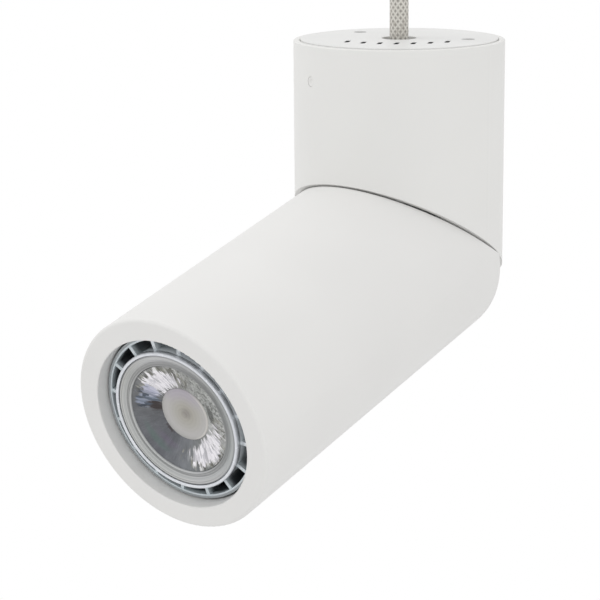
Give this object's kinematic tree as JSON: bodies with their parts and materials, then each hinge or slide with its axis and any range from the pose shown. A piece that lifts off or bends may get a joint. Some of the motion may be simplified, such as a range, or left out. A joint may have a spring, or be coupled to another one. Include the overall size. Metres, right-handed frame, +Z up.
{
  "type": "surface mounted ceiling spotlight",
  "caption": "White metal ceiling spotlight: a slant-cut can turns under a ceiling plate, and a second can with a pin-base lamp tilts on a hidden hinge behind the slanted seam.",
  "frame": {"origin": "centre of the ceiling plate's ceiling face, on the ceiling plane", "axes": "+Z up into the ceiling; the light leaves towards -Y and a little down; X is the tilting axis"},
  "size_m": [0.065, 0.1539, 0.2657],
  "materials": {
    "white_metal": "fine satin powder coat",
    "zinc_steel": "zinc plated sheet",
    "steel": "plain bright steel",
    "washer_plastic": "smooth moulded",
    "lead_sleeve": "woven glass sleeve",
    "core_sheath": "smooth insulation",
    "lead_rubber": "smooth flexible sheath",
    "grommet_rubber": "matt",
    "white_plastic": "moulded",
    "holder_ceramic": "unglazed ceramic",
    "brass": "plain",
    "lamp_aluminium": "cast, grey coated",
    "lamp_rim": "bright rolled rim",
    "lens_clear": "clear, partly frosted",
    "phosphor": "matt resin",
    "board_white": "coated board",
    "board_green": "coated board",
    "lamp_plastic": "moulded"
  },
  "bodies": {
    "ceiling_mount": {"ceiling_plate": "white_metal", "turning_washer": "washer_plastic", "spring_washer": "steel", "retaining_ring": "steel", "supply_lead": "lead_sleeve", "lead_cores": "core_sheath"},
    "turning_head": {"upper_shell": "white_metal", "turning_disc": "zinc_steel", "set_screws": "steel", "hinge_arm": "zinc_steel", "arm_screws": "steel", "terminal_block": "white_plastic", "terminal_screws": "brass", "block_screw": "steel", "cord_clamp": "white_plastic", "clamp_screws": "steel", "lead_tail": "lead_sleeve", "inner_leads": "core_sheath", "onward_leads": "core_sheath", "wiring_cover": "white_metal", "cover_pillars": "steel", "cover_screws": "steel", "link_grommet": "grommet_rubber", "link_lead_upper": "lead_rubber"},
    "lamp_head": {"lower_shell": "white_metal", "rear_cap": "white_metal", "cap_pins": "steel", "posts_for_holder": "steel", "cap_screws": "steel", "holder_carrier": "zinc_steel", "carrier_screws": "steel", "lampholder": "holder_ceramic", "holder_contacts": "brass", "holder_screws": "steel", "holder_leads": "core_sheath", "cap_grommet": "grommet_rubber", "link_lead_lower": "lead_rubber", "tilt_washers": "washer_plastic", "hinge_bolt": "steel", "lock_nut": "steel"},
    "lamp": {"lamp_heatsink": "lamp_aluminium", "lamp_bezel": "lamp_rim", "lamp_lens": "lens_clear", "lamp_cob": "phosphor", "led_board": "board_white", "lamp_driver": "board_green", "lamp_base": "lamp_plastic", "lamp_pins": "steel"}
  },
  "joints": [
    {"name": "pan", "type": "hinge", "parent": "ceiling_mount", "child": "turning_head", "pos_m": [0, 0, 0], "axis": [0, 0, 1], "range_deg": [-175, 175]},
    {"name": "tilt", "type": "hinge", "parent": "turning_head", "child": "lamp_head", "pos_m": [0, 0.01346, -0.0773], "axis": [1, 0, 0], "range_deg": [0, 75.4]},
    {"name": "lamp_twist", "type": "hinge", "parent": "lamp_head", "child": "lamp", "pos_m": [0, 0, -0.0669], "axis": [0, -0.9677, -0.2521], "range_deg": [0, 20]}
  ]
}
